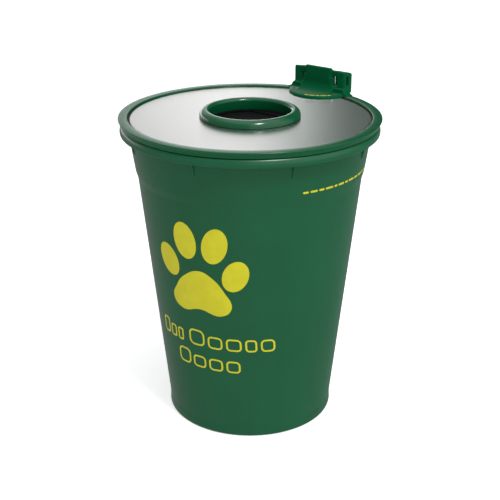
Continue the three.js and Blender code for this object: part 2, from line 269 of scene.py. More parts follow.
# ---------- shader maths ----------
class Socket:
    """A node's output that can be used in sums and products."""

    def __init__(self, tree, out):
        self.tree = tree
        self.out = out

    def math(self, operation, first, second=None):
        inputs = {0: first} if second is None else {0: first, 1: second}
        return node(self.tree, "ShaderNodeMath", {"operation": operation}, inputs)

    def __add__(self, other):
        return self.math("ADD", self, other)

    __radd__ = __add__

    def __sub__(self, other):
        return self.math("SUBTRACT", self, other)

    def __rsub__(self, other):
        return self.math("SUBTRACT", other, self)

    def __mul__(self, other):
        return self.math("MULTIPLY", self, other)

    __rmul__ = __mul__

    def __truediv__(self, other):
        return self.math("DIVIDE", self, other)

    def clamped(self):
        return self.math("MINIMUM", self.math("MAXIMUM", self, 0.0), 1.0)

    def from_to(self, low, high):
        """0 below low, 1 above high, and straight between them."""
        return ((self - low) / (high - low)).clamped()


def node(tree, kind, settings=None, inputs=None, output=0):
    """Adds a node: its settings first, then the values or links of its sockets."""
    made = tree.nodes.new(kind)
    for key, value in (settings or {}).items():
        setattr(made, key, value)
    for key, value in (inputs or {}).items():
        if isinstance(value, Socket):
            tree.links.new(value.out, made.inputs[key])
        else:
            made.inputs[key].default_value = value
    return Socket(tree, made.outputs[output])


class Finish:
    """A material under construction: its tree, its surface shader and its coordinates."""

    def __init__(self, name, **constants):
        self.material = bpy.data.materials.new(name)
        self.material.use_nodes = True
        self.tree = self.material.node_tree
        self.shader = self.tree.nodes["Principled BSDF"]
        for key, value in constants.items():
            self.shader.inputs[key.replace("_", " ")].default_value = value
        self.place = node(self.tree, "ShaderNodeTexCoord", output=3)

    def add(self, kind, settings=None, inputs=None, output=0):
        return node(self.tree, kind, settings, inputs, output)

    def stretched(self, scale):
        return self.add("ShaderNodeMapping", {"vector_type": "POINT"}, {0: self.place, 3: scale})

    def noise(self, scale, detail=2.0, roughness=0.5, where=None):
        """Noise from 0 to 1, with its scale in features per metre."""
        return self.add("ShaderNodeTexNoise", None, {
            "Vector": where or self.place, "Scale": scale, "Detail": detail, "Roughness": roughness,
        })

    def mixed(self, factor, first, second):
        return self.add("ShaderNodeMix", {"data_type": "RGBA"}, {0: factor, 6: first, 7: second}, 2)

    def feed(self, **sockets):
        for key, value in sockets.items():
            self.tree.links.new(value.out, self.shader.inputs[key.replace("_", " ")])
        return self.material

    def bump(self, height, distance):
        return self.add("ShaderNodeBump", None, {"Distance": distance, "Height": height})


def shade_of(colour, factor):
    """The same colour, darker or lighter."""
    return (*[c * factor for c in colour[:3]], 1.0)


GREEN = (0.0004, 0.074, 0.026, 1.0)


def moulded_green(name, gloss=0.26, grain=0.5, shine=0.44, tone=1.0):
    """Dark green polypropylene with a fine moulded skin, faint flow marks and light scuffs."""
    f = Finish(name, IOR=1.49, Specular_IOR_Level=shine)
    cloud = f.noise(9, 3)
    fine = f.noise(1500, 3, 0.6)
    orange = f.noise(260, 2)
    streaks = f.noise(40, 4, 0.55, f.stretched((1.0, 1.0, 0.12)))
    scuffs = f.noise(85, 6, 0.7, f.stretched((0.35, 1.0, 1.6))).from_to(0.64, 0.8)
    cast = cloud * 0.6 + streaks * 0.4
    dark, light = shade_of(GREEN, 0.93 * tone), shade_of(GREEN, 1.07 * tone)
    colour = f.mixed(cast.from_to(0.3, 0.7), dark, light)
    scuffed = f.mixed(scuffs * 0.10, colour, (0.06, 0.14, 0.09, 1.0))
    roughness = gloss + cloud * 0.05 + scuffs * 0.10 + fine * 0.03
    height = fine * 0.35 * grain + orange * 0.65
    return f.feed(Base_Color=scuffed, Roughness=roughness, Normal=f.bump(height, 0.00006))


def satin_steel(name):
    """Stainless sheet with a fine brushed grain along X and a soft cloudy sheen."""
    f = Finish(name, Metallic=1.0)
    brushed = f.noise(120, 4, 0.6, f.stretched((0.4, 14.0, 14.0)))
    hairs = f.noise(420, 3, 0.7, f.stretched((0.15, 9.0, 9.0)))
    cloud = f.noise(11, 3)
    colour = f.mixed(cloud * 0.5 + brushed * 0.5, (0.60, 0.605, 0.60, 1.0), (0.70, 0.70, 0.69, 1.0))
    roughness = 0.205 + cloud * 0.03 + brushed * 0.04
    height = brushed * 0.5 + hairs * 0.5
    return f.feed(Base_Color=colour, Roughness=roughness, Normal=f.bump(height, 0.000012))


def zinc_plate(name):
    """Bright zinc with a mottled, slightly uneven plating."""
    f = Finish(name, Metallic=1.0)
    mottle = f.noise(420, 4, 0.6)
    cloud = f.noise(60, 3)
    colour = f.mixed(mottle * 0.6 + cloud * 0.4, (0.46, 0.48, 0.50, 1.0), (0.68, 0.69, 0.70, 1.0))
    roughness = 0.28 + mottle * 0.16
    return f.feed(Base_Color=colour, Roughness=roughness, Normal=f.bump(mottle, 0.00003))


def black_moulding(name):
    """Black moulded plastic with a fine matt spark-eroded texture. Its colour is pushed darker than the
    plastic's own, as painted shade that keeps the throat's inside black.
    """
    f = Finish(name, IOR=1.49, Specular_IOR_Level=0.05)
    pits = f.noise(1300, 3, 0.65)
    cloud = f.noise(25, 3)
    # colours darker than black plastic's own: painted shade that keeps the throat's inside black
    colour = f.mixed(cloud, (0.0022, 0.0022, 0.0024, 1.0), (0.005, 0.005, 0.0052, 1.0))
    roughness = 0.46 + pits * 0.18
    return f.feed(Base_Color=colour, Roughness=roughness, Normal=f.bump(pits, 0.00012))


def black_rubber(name):
    """Soft black rubber with a powdery bloom."""
    f = Finish(name, IOR=1.52)
    bloom = f.noise(140, 5, 0.65)
    pores = f.noise(1800, 2)
    colour = f.mixed(bloom.from_to(0.4, 0.75), (0.011, 0.011, 0.011, 1.0), (0.03, 0.03, 0.029, 1.0))
    roughness = 0.72 + bloom * 0.2
    return f.feed(Base_Color=colour, Roughness=roughness, Normal=f.bump(pores, 0.00008))


YELLOW = (0.47, 0.44, 0.004, 1.0)


def yellow_ink(name):
    """Screen-printed yellow ink: a thin film with a faint mesh texture and small density changes."""
    f = Finish(name, IOR=1.48, Specular_IOR_Level=0.3)
    density = f.noise(45, 4, 0.6)
    mesh = f.noise(900, 2)
    colour = f.mixed(density.from_to(0.3, 0.7), shade_of(YELLOW, 0.92), shade_of(YELLOW, 1.06))
    roughness = 0.34 + density * 0.08 + mesh * 0.04
    return f.feed(Base_Color=colour, Roughness=roughness, Normal=f.bump(mesh, 0.00003))


def coat(obj, material):
    """Gives an object one material."""
    obj.data.materials.clear()
    obj.data.materials.append(material)
    return obj


def finish_piece(obj, body, slot, material, *nodes):
    """Gives a piece its material and its CAD body, and hides the CAD nodes that it stands for. The slot is
    not used.
    """
    coat(obj, material)
    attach(obj, body)
    if nodes:
        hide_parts(*nodes)
    return obj


# ---------- the bucket ----------
WALL = 3.5
WALL_FOOT = 130.36  # the wall is a cone below the stacking step: its outer radius at the floor
WALL_SLOPE = 0.1069  # and how much wider it grows per millimetre of height
BAND = (132.8, 132.3, 18)  # the foot band: its radius at the floor and at its top, and its top
FLOOR = 7
PAD = (22, 23.5, 3)  # the centre pad's foot and root radius, and the recess round it
FOOT_RING = (110, 111.5)
RIM_BOTTOM = 461.4
RIM_WALL = 184.3  # the wall's outer radius where it meets the rim
STEP_LOW = (172.5, 394)
STEP_HIGH = (175.9, 405.5)
HOOP_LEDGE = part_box("bag_hoop")[0].z / MM - AIR
GUSSETS = 8
GUSSET_TURN = 12.8  # degrees from -Y, towards +X
GUSSET_THICK = 2.6
GUSSET_FOOT = 440


def wall_radius(height):
    """The outer radius below the stacking step."""
    return WALL_FOOT + WALL_SLOPE * height


def wall_at_rim(height):
    """The outer radius between the stacking step and the rim."""
    share = (height - STEP_HIGH[1]) / (RIM_BOTTOM - STEP_HIGH[1])
    return STEP_HIGH[0] + (RIM_WALL - STEP_HIGH[0]) * share


def bucket_section():
    pad_foot, pad_root, recess = PAD
    band_foot, band_top, band_height = BAND
    under = [
        (0, 0), (pad_foot, 0, 1.0), (pad_root, recess, 1.0),
        (FOOT_RING[0], recess, 1.0), (FOOT_RING[1], 0, 0.6),
    ]
    outside = [
        (band_foot, 0, 3.2), (band_top, band_height, 2.0), (*STEP_LOW, 2.0), (*STEP_HIGH, 2.0),
        (RIM_WALL, RIM_BOTTOM, 3.0), (RIM_WALL + 0.5, RIM_TOP - WALL, 1.5),
    ]
    lip = [
        (RIM_RADIUS - WALL, RIM_TOP - WALL, 1.2), (RIM_RADIUS - WALL, RIM_BOTTOM, 1.1),
        (RIM_RADIUS - 0.8, RIM_BOTTOM, 1.6), (RIM_RADIUS, RIM_BOTTOM + 5, 2.4),
        (RIM_RADIUS - 1.5, RIM_TOP - 3.2, 1.2), (RIM_RADIUS - 3.2, RIM_TOP - 1.0, 1.0),
        (RIM_RADIUS - 6.0, RIM_TOP, 1.6),
    ]
    inside = [
        (RIM_WALL - WALL + 0.8, RIM_TOP, 1.6), (RIM_WALL - WALL, RIM_BOTTOM, 3.0),
        (STEP_HIGH[0] - WALL - 0.4, HOOP_LEDGE, 0.8), (STEP_LOW[0] - WALL + 0.4, HOOP_LEDGE, 0.8),
        (STEP_LOW[0] - WALL, STEP_LOW[1], 2.0), (band_top - WALL, FLOOR, 6.0), (0, FLOOR),
    ]
    return [*under, *outside, *lip, *inside]


def rim_gussets():
    """The webs that stiffen the rim from below, drawn once and copied round."""
    points = [
        (wall_at_rim(GUSSET_FOOT) - 1.6, GUSSET_FOOT - 4),
        (wall_at_rim(GUSSET_FOOT) + 1.2, GUSSET_FOOT + 1, 1.0),
        (RIM_WALL + 3.4, RIM_BOTTOM - 1, 3.0),
        (RIM_RADIUS - WALL + 1.2, RIM_BOTTOM + 1.6),
        (RIM_RADIUS - WALL + 1.2, RIM_TOP - WALL + 1.2),
        (RIM_WALL - 1.6, RIM_TOP - WALL + 1.2),
    ]
    gusset = extruded("gusset", points, -GUSSET_THICK / 2, GUSSET_THICK / 2, plane="XZ")
    modify(gusset, "BEVEL", width=0.4 * MM, segments=2, limit_method="ANGLE", angle_limit=radians(60))
    return around(gusset, GUSSETS, GUSSET_TURN - 90)


def drain_cutter():
    """Four 8 mm drain holes through the floor."""
    hole = rod("drain", 4, (70, 0, -2), (70, 0, FLOOR + 5), 32)
    return around(hole, 4, 45)


def build_bucket():
    """The bucket: a turned shell with gussets under its rim and drain holes in its floor."""
    bucket = turned("bucket", bucket_section(), steps=192, ring=False)
    combine(bucket, rim_gussets(), "UNION")
    combine(bucket, drain_cutter(), "DIFFERENCE")
    smooth(tidy_normals(bucket), 32)
    return finish_piece(bucket, "bin", "green_plastic", moulded_green("bucket_green"), "bin_body")


# ---------- the lid ----------
LID_INNER = 185.4
LEDGE_INNER = 160
LEDGE_THICK = 3
SKIRT = (175.9, 179.8)  # the skirt that drops into the bucket's mouth
STUDS = 6
STUD_RADIUS = 2.5
STUD_LENGTH = 11
PLATE_THICK = 1.5
PLATE_BORE = 65.8
FASTENER_CIRCLE = 168
FASTENER_HOLE = 3  # the holes' radius in the lid, its seal and the plate
SCREW_ANGLES = (-13, -4.5, 4.5, 13)


STUD_PLACES = [on_circle(FASTENER_CIRCLE, 360 / STUDS * i) for i in range(STUDS)]
SCREW_PLACES = [on_circle(FASTENER_CIRCLE, 90 + a) for a in SCREW_ANGLES]


def drilled(obj, radius, low, high, places):
    """The object with an upright hole at each place."""
    pins = [rod(f"hole_{i}", radius, (x, y, low), (x, y, high)) for i, (x, y) in enumerate(places)]
    return combine(obj, join(*pins), "DIFFERENCE")


def build_lid_ring():
    """The lid's outer moulding: land, ledge for the plate, skirt and rolled edge."""
    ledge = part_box("plate_gasket")[0].z / MM - AIR
    seat = RIM_TOP + AIR
    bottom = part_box("lid_ring")[0].z / MM
    points = [
        (LEDGE_INNER, ledge, 0.6), (LEDGE_INNER, ledge - LEDGE_THICK, 0.6),
        (SKIRT[0], ledge - LEDGE_THICK, 1.2), (SKIRT[0], bottom, 1.2), (SKIRT[1], bottom, 1.2),
        (SKIRT[1], seat, 1.2), (LID_RADIUS - 4.0, seat, 0.5), (LID_RADIUS - 3.2, seat + 1.6, 1.0),
        (LID_RADIUS - 2.6, seat + 5.4, 1.6), (LID_RADIUS, LAND - 1.4, 0.5),
        (LID_RADIUS - 0.6, LAND, 0.8), (LID_INNER, LAND, 0.8), (LID_INNER, ledge, 0.6),
    ]
    ring = turned("lid_ring_moulding", points, steps=192)
    drilled(ring, FASTENER_HOLE, ledge - 6, ledge + 3, STUD_PLACES + SCREW_PLACES)
    smooth(tidy_normals(ring), 32)
    green = moulded_green("lid_green", gloss=0.17, grain=0.3, shine=0.36, tone=0.92)
    return finish_piece(ring, "lid", "green_plastic", green, "lid_ring")


def build_plate():
    """The satin steel disc, with the studs welded under it."""
    low = PLATE_TOP - PLATE_THICK
    points = [
        (PLATE_BORE, low), (PLATE_RADIUS, low, 0.3), (PLATE_RADIUS, PLATE_TOP - 0.9, 0.3),
        (PLATE_RADIUS - 1.0, PLATE_TOP - 0.1, 0.5), (PLATE_RADIUS - 2.2, PLATE_TOP, 0.5),
        (PLATE_BORE, PLATE_TOP),
    ]
    plate = turned("cover_disc", points, steps=192)
    tip = low - STUD_LENGTH
    stud = turned("stud", [
        (0, low + 0.6), (STUD_RADIUS, low + 0.6), (STUD_RADIUS, tip + 0.8, 0.4),
        (STUD_RADIUS - 0.6, tip), (0, tip),
    ], steps=20, ring=False)
    move_mesh(stud, shift(FASTENER_CIRCLE, 0, 0))
    combine(plate, around(stud, STUDS), "UNION")
    drilled(plate, FASTENER_HOLE, low - 2, low + 3, SCREW_PLACES)
    smooth(tidy_normals(plate), 25)
    return finish_piece(plate, "lid", "satin_steel", satin_steel("satin_steel"), "cover_plate")


def build_gaskets():
    """The flat seal under the plate and the washer under the collar's lock ring."""
    rubber = black_rubber("gasket_rubber")
    low, high = (corner.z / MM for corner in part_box("plate_gasket"))
    ring = turned("plate_seal", [
        (161, low, 0.3), (LID_INNER - 0.5, low, 0.3), (LID_INNER - 0.5, high + 0.2, 0.4),
        (PLATE_RADIUS + 0.5, high + 0.2, 0.3), (PLATE_RADIUS + 0.3, high, 0.1), (161, high, 0.5)])
    drilled(ring, FASTENER_HOLE, low - 2, high + 2, STUD_PLACES + SCREW_PLACES)
    finish_piece(smooth(tidy_normals(ring)), "lid", "black_rubber", rubber, "plate_gasket")
    low, high = (corner.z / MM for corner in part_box("collar_gasket"))
    washer = turned("collar_seal", [
        (65.6, low, 0.3), (78, low, 0.3), (78, high, 0.5), (65.6, high, 0.5)], steps=128)
    finish_piece(washer, "lid", "black_rubber", rubber, "collar_gasket")


NUT_TURN = 72  # how much further each nut is turned than the last
SCREW_TURN = (25, 40)  # the first screw's turn, and how much further each next one is turned


def build_nuts():
    """Hexagon nuts with turned-off corners and a chamfered bore."""
    zinc = zinc_plate("zinc_plate")
    low, high = (corner.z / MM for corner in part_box("plate_nut_1"))
    start_clean()
    bpy.ops.mesh.primitive_cylinder_add(vertices=6, radius=4.6 * MM, depth=(high - low) * MM,
                                        location=(0, 0, (low + high) / 2 * MM))
    nut = settle(named(bpy.context.active_object, "nut"))
    dome = turned("dome", [
        (0, low - 0.1), (4.05, low - 0.1), (4.7, low + 0.7),
        (4.7, high - 0.7), (4.05, high + 0.1), (0, high + 0.1),
    ], steps=36, ring=False)
    combine(nut, dome, "INTERSECT")
    bore = turned("bore", [
        (0, low - 1), (3.2, low - 1), (2.8, low + 0.4),
        (2.8, high - 0.4), (3.2, high + 1), (0, high + 1),
    ], steps=28, ring=False)
    combine(nut, bore, "DIFFERENCE")
    smooth(tidy_normals(nut), 28)
    for i, (x, y) in enumerate(STUD_PLACES):
        twin = copy_of(nut, f"stud_nut_{i + 1}", shift(x, y, 0) @ about_z(NUT_TURN * i))
        finish_piece(twin, "lid", "zinc_steel", zinc, f"plate_nut_{i + 1}")
    bpy.data.objects.remove(nut)
    return zinc


def build_saddle_screws(zinc):
    """Pan head screws with a cross recess, driven up from under the lid."""
    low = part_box("saddle_screw_1")[0].z / MM
    high = LAND + FOOT_TOP - SCREW_COVER - AIR
    screw = turned("screw", [
        (0, low), (3.4, low, 1.0), (5, low + 1.6, 1.0), (5, low + 3, 0.3), (2.5, low + 3, 0.4),
        (2.5, high - 1.2, 0.3), (1.6, high, 0.3), (0, high),
    ], steps=32, ring=False)
    for x, y in ((2.6, 0.55), (0.55, 2.6)):
        combine(screw, block("recess", (-x, -y, low - 1), (x, y, low + 1.7)), "DIFFERENCE")
    smooth(tidy_normals(screw), 30)
    for i, (x, y) in enumerate(SCREW_PLACES):
        turn = about_z(SCREW_TURN[0] + SCREW_TURN[1] * i)
        twin = copy_of(screw, f"pan_screw_{i + 1}", shift(x, y, 0) @ turn)
        finish_piece(twin, "lid", "zinc_steel", zinc, f"saddle_screw_{i + 1}")
    bpy.data.objects.remove(screw)


# ---------- the throat ----------
THROAT = 62  # the opening's radius
TUBE = 65  # the sleeve that passes down through the plate
COLLAR = 77  # the collar's outer radius
CREST = 68  # the radius at which the collar is highest


def build_collar():
    """The raised collar round the opening: a rounded bead on a sleeve."""
    low, high = (corner.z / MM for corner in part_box("throat_collar"))
    foot = PLATE_TOP + AIR
    bead = COLLAR - CREST
    dome = [
        (CREST + bead * cos(radians(a)), high - bead + bead * sin(radians(a))) for a in range(0, 91, 9)
    ]
    points = [
        (TUBE, foot), (COLLAR - 0.5, foot), (COLLAR, foot + 0.5), *dome,
        (THROAT + 2.9, high - 0.2, 0.8), (THROAT, high - 3.0, 1.6), (THROAT, low + 3.6, 0.4),
        (THROAT + 1.5, low + 3.6, 0.4), (THROAT + 1.5, low, 0.3), (TUBE, low, 0.3),
    ]
    collar = turned("throat_bead", points)
    green = moulded_green("throat_green", gloss=0.13, grain=0.15, shine=0.5, tone=0.92)
    return finish_piece(collar, "lid", "green_plastic", green, "throat_collar")


def build_lock_ring(black):
    """The ring that screws onto the collar's sleeve from below, with eight spanner notches."""
    low, high = (corner.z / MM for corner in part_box("collar_lock_ring"))
    ring = turned("lock_ring", [
        (65.5, low, 0.6), (79, low, 0.8), (79, high, 0.8), (65.5, high, 0.6)], steps=128)
    notch = around(block("notch", (75, -4, low - 1), (82, 4, low + 2.8)), 8)
    combine(ring, notch, "DIFFERENCE")
    smooth(tidy_normals(ring), 32)
    finish_piece(ring, "lid", "black_plastic", black, "collar_lock_ring")


def hinge_bore(half):
    """The pin's running hole, 4.4 mm across, to cut from the pieces on it."""
    return rod("bore", 2.2, (-half, HINGE_Y, HINGE_Z), (half, HINGE_Y, HINGE_Z), 32)


def mirrored(half):
    """An outline's right half followed by its left half."""
    return [*half, *[(-point[0], *point[1:]) for point in reversed(half)]]


def build_flap_frame(black):
    """The black sleeve inside the collar, half covered by a hood that holds the hinge pin."""
    low, high = (corner.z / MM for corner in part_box("flap_frame"))
    collar_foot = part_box("throat_collar")[0].z / MM
    points = [
        (57, high, 0.4), (57, high - 1.4, 0.4), (60, high - 1.4, 0.6), (60, low, 0.6), (64.5, low, 0.6),
        (64.5, collar_foot - AIR, 0.3), (63.2, collar_foot - AIR, 0.3), (63.2, high, 0.3),
    ]
    sleeve = turned("flap_sleeve", points, steps=128)
    disc = turned("hood", [
        (0, high - 1.4), (60.5, high - 1.4), (60.5, high), (0, high)], steps=96, ring=False)
    combine(disc, block("half", (-70, HINGE_Y - 4.5, low - 5), (70, 70, high + 5)), "INTERSECT")
    combine(sleeve, disc, "UNION")
    combine(sleeve, hinge_bore(70), "DIFFERENCE")
    smooth(tidy_normals(sleeve), 30)
    finish_piece(sleeve, "lid", "black_plastic", black, "flap_frame")


def build_flap(black):
    """The flap's blade with its raised edge bead, stiffening ribs and two hinge barrels."""
    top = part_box("throat_flap")[1].z / MM
    thick = 2.5
    rear = HINGE_Y - 3
    points = [
        (0, top - thick), (55, top - thick, 0.8), (56.5, top - thick - 1.2, 0.6),
        (58.2, top - thick - 1.2, 0.6), (59, top, 0.8), (0, top),
    ]
    blade = turned("flap_blade", points, steps=128, ring=False)
    half = [(70, -75), (70, HINGE_Y - 52, 3), (50, HINGE_Y - 23.5, 3), (36, rear, 2)]
    keep = extruded("keep", mirrored(half), top - 12, top + 5)
    combine(blade, keep, "INTERSECT")
    for side in (-1, 1):
        x0, x1 = sorted((side * 17, side * 26))
        knuckle = rod("knuckle", 3.8, (x0, HINGE_Y, HINGE_Z), (x1, HINGE_Y, HINGE_Z), 40)
        combine(knuckle, block("arm", (x0, rear - 4, HINGE_Z + 0.5), (x1, HINGE_Y, top - 0.4)), "UNION")
        combine(blade, knuckle, "UNION")
        rib = block("rib", (side * 22 - 1.2, HINGE_Y - 92, top - thick - 2),
                    (side * 22 + 1.2, HINGE_Y - 34, top - 1))
        combine(blade, rib, "UNION")
    combine(blade, hinge_bore(40), "DIFFERENCE")
    smooth(tidy_normals(blade), 30)
    finish_piece(blade, "flap", "black_plastic", black, "throat_flap")


def build_hinge(zinc):
    """The pin with its clip grooves, the two clips and the two torsion springs."""
    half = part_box("flap_pin")[1].x / MM
    clip_x = (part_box("pin_clip_right")[0].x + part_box("pin_clip_right")[1].x) / 2 / MM
    groove = 0.8
    points = [(0, -half), (1.5, -half), (2, 0.5 - half)]
    for x in (-clip_x, clip_x):
        points += [(2, x - groove), (1.55, x - groove), (1.55, x + groove), (2, x + groove)]
    points += [(2, half - 0.5), (1.5, half), (0, half)]
    pin = turned("hinge_pin", points, steps=32, ring=False)
    move_mesh(pin, shift(0, HINGE_Y, HINGE_Z) @ Matrix.Rotation(pi / 2, 4, "Y"))
    finish_piece(pin, "lid", "zinc_steel", zinc, "flap_pin")

    clip = turned("clip", [(2.1, -0.4, 0.15), (4, -0.4, 0.15), (4, 0.4, 0.15), (2.1, 0.4, 0.15)], steps=48)
    combine(clip, block("mouth", (0, -1.6, -1), (5, 1.6, 1)), "DIFFERENCE")
    for y in (2.7, -2.7):  # the notches that the pliers grip
        combine(clip, rod("notch", 0.45, (3.1, y, -1), (3.1, y, 1), 16), "DIFFERENCE")
    move_mesh(clip, Matrix.Rotation(pi / 2, 4, "Y"))
    smooth(tidy_normals(clip), 30)
    for side, word in ((-1, "left"), (1, "right")):
        twin = copy_of(clip, f"e_clip_{word}", shift(side * clip_x, HINGE_Y, HINGE_Z))
        finish_piece(twin, "lid", "zinc_steel", zinc, f"pin_clip_{word}")
        finish_piece(spring(side, word), "flap", "zinc_steel", zinc, f"flap_spring_{word}")
    bpy.data.objects.remove(clip)


def spring(side, word):
    """A torsion spring: a round wire swept along its coil and its tail under the flap."""
    turns, coil, length, wire, reach = 4.25, 3.25, 9, 0.45, (22, 2)
    coil_share, steps = 0.86, 150  # how much of the path is coil, and its number of short lengths
    line = bpy.data.curves.new(f"spring_{word}", "CURVE")
    line.dimensions = "3D"
    line.bevel_depth = wire * MM
    line.bevel_resolution = 3
    line.use_fill_caps = True
    path = line.splines.new("POLY")
    path.points.add(steps)
    for i in range(steps + 1):
        t = i / steps
        s = min(t / coil_share, 1)
        tail = max(0, t - coil_share) / (1 - coil_share)
        a = -2 * pi * turns * s
        at = Vector((side * (5 + length * s), HINGE_Y + coil * cos(a) - reach[0] * tail,
                     HINGE_Z + coil * sin(a) + reach[1] * tail)) * MM
        path.points[i].co = (*at, 1)
    obj = bpy.data.objects.new(f"torsion_spring_{word}", line)
    bpy.context.scene.collection.objects.link(obj)
    pick(obj)
    bpy.ops.object.convert(target="MESH")
    obj = bpy.context.active_object
    tidy_normals(obj)
    return smooth(obj, 60)


def build_hoop(zinc):
    """The bag hoop: a wire ring with its butt weld."""
    low, high = (corner.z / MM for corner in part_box("bag_hoop"))
    wire = (high - low) / 2
    middle = (low + high) / 2
    radius = 168.2
    start_clean()
    bpy.ops.mesh.primitive_torus_add(major_segments=192, minor_segments=20, major_radius=radius * MM,
                                     minor_radius=wire * MM, location=(0, 0, middle * MM))
    hoop = settle(named(bpy.context.active_object, "wire_hoop"))
    open_mesh(hoop, "FACE")
    weld = Vector((0, radius, middle)) * MM
    select_where(hoop, "polygons", lambda face: abs(face.center.x) < 1.4 * MM
                 and (face.center - weld).length < 6 * MM)
    bpy.ops.mesh.extrude_region_shrink_fatten(TRANSFORM_OT_shrink_fatten={"value": 0.35 * MM})
    close_mesh()
    smooth(tidy_normals(hoop), 60)
    finish_piece(hoop, "hoop", "zinc_steel", zinc, "bag_hoop")


# ---------- the post saddle ----------
SADDLE_Y = 186  # the pad's centre
SADDLE_FOOT = 52  # the pad's radius
FOOT_TOP = 3.4  # the pad's top above the land
SCREW_COVER = 1.1  # what is left of the pad above the screws' holes
SCREW_HOLE = 2.8
ARM_TOP = LAND + 38
WEB = (176, 183)  # the web's front and back face
WEB_TOP = SADDLE_TOP - 1.2
WINDOW = (LAND + 14, LAND + 30)  # the windows and the strap slot, low and high
WINDOW_SIDES = (28.5, 35.5)
SLOT = (186.2, 193)  # the strap slot, front to back
GROOVE = 20  # half the width of the groove that the post nests in
MOULD = 1.8  # the moulding's edge radius


def mould_edges(obj, width=MOULD):
    return modify(obj, "BEVEL", width=width * MM, segments=3, limit_method="ANGLE", angle_limit=radians(40))


def inside_radius(obj, radius):
    return combine(obj, rod("edge", radius, (0, 0, LAND - 8), (0, 0, LAND + 60), 192), "INTERSECT")


def saddle_foot():
    """The low pad on the lid, with its step down onto the plate."""
    pad = turned("saddle", [
        (0, AIR), (SADDLE_FOOT, AIR, 0.3), (SADDLE_FOOT, 1.8, 0.8), (50, FOOT_TOP, 2), (0, FOOT_TOP),
    ], steps=128, ring=False)
    move_mesh(pad, shift(0, SADDLE_Y, LAND))
    inside_radius(pad, LID_RADIUS - 1)
    step = rod("step", SADDLE_FOOT, (0, SADDLE_Y, PLATE_TOP + AIR), (0, SADDLE_Y, LAND + 1.2), 128)
    return pad, inside_radius(step, LID_INNER - 0.7)


def saddle_fillet():
    """The hollow curve between the pad and the web's face, drawn across and turned along the web."""
    fillet = extruded("fillet", [
        (184, LAND + 0.6), (158, LAND + 0.6), (160, LAND + 3.4, 1), (171, LAND + 6, 6),
        (176.6, LAND + 15, 6), (177.5, LAND + 26), (184, LAND + 26),
    ], -31, 31, plane="XZ")
    return move_mesh(fillet, about_z(90))


def saddle_flare():
    """The low hollow wings that run out along the lid's land from the arms."""
    points = [(0, AIR), (62, AIR), (62, 0.9), (57, 2.4, 2), (53, 5.5, 2), (50.4, 11, 1), (0, 11)]
    flare = turned("flare", points, steps=128, ring=False)
    move_mesh(flare, shift(0, SADDLE_Y, LAND))
    inside_radius(flare, LID_RADIUS - 0.8)
    return combine(flare, block("rear", (-70, 176, LAND), (70, 210, LAND + 20)), "INTERSECT")


def saddle_web():
    """The upright web, waisted on both sides."""
    half = [(39, LAND + 1), (19.5, LAND + 22, 15), (27, WEB_TOP, 4)]
    return mould_edges(extruded("web", mirrored(half), *WEB, plane="XZ"))


def saddle_arm(side):
    """An arm that reaches back past the lid's edge to the post, its top falling to the rear,
    and the short wall that joins it to the web."""
    inner, outer, front = 36, 50, 180
    arm = extruded("arm", [
        (side * inner, front, 2), (side * outer, front, 4.5), (side * outer, SADDLE_REAR, 8),
        (side * (GROOVE + 4), SADDLE_REAR, 1), (side * GROOVE, SADDLE_REAR - 4, 1),
        (side * GROOVE, 197, 2), (side * inner, 197, 2),
    ], LAND + 1, ARM_TOP + 1)
    open_mesh(arm)
    bpy.ops.mesh.select_all(action="SELECT")
    bpy.ops.mesh.bisect(plane_co=Vector((0, front, ARM_TOP)) * MM, plane_no=(0, 0.2, 1),
                        use_fill=True, clear_outer=True)
    close_mesh()
    mould_edges(arm, 2.6)
    x0, x1 = sorted((side * 18, side * 38))
    return arm, block("link", (x0, 179.5, LAND + 1), (x1, 186, ARM_TOP))


def blend(obj):
    """Grows overlapping closed parts into one even skin, as one moulding."""
    return modify(obj, "REMESH", mode="VOXEL", voxel_size=0.75 * MM, adaptivity=0)


def build_saddle():
    """The bracket at the lid's back: pad, web and two arms grown into one moulding."""
    saddle = join(*saddle_foot(), saddle_fillet(), saddle_web(),
                  *saddle_arm(-1), *saddle_arm(1), saddle_flare())
    blend(saddle)
    low, high = WINDOW
    front, rear = SLOT
    groove = block("groove", (-GROOVE, WEB[1], LAND + 5), (GROOVE, 215, LAND + 60))
    combine(saddle, groove, "DIFFERENCE")
    combine(saddle, block("slot", (-70, front, low), (70, rear, high)), "DIFFERENCE")
    for side in (-1, 1):
        x0, x1 = sorted(side * x for x in WINDOW_SIDES)
        combine(saddle, block("window", (x0, 168, low), (x1, 190, high)), "DIFFERENCE")
    blend(saddle)
    modify(saddle, "SMOOTH", factor=0.5, iterations=10)
    drilled(saddle, SCREW_HOLE, LAND - 6, LAND + FOOT_TOP - SCREW_COVER, SCREW_PLACES)
    smooth(tidy_normals(saddle, 1e-6), 40)
    saddle.visible_glossy = False  # no other piece mirrors it, so the plate shows no image of it
    green = moulded_green("saddle_green", gloss=0.28, grain=0.25, shine=0.035, tone=0.9)
    return finish_piece(saddle, "lid", "green_plastic", green, "post_saddle")


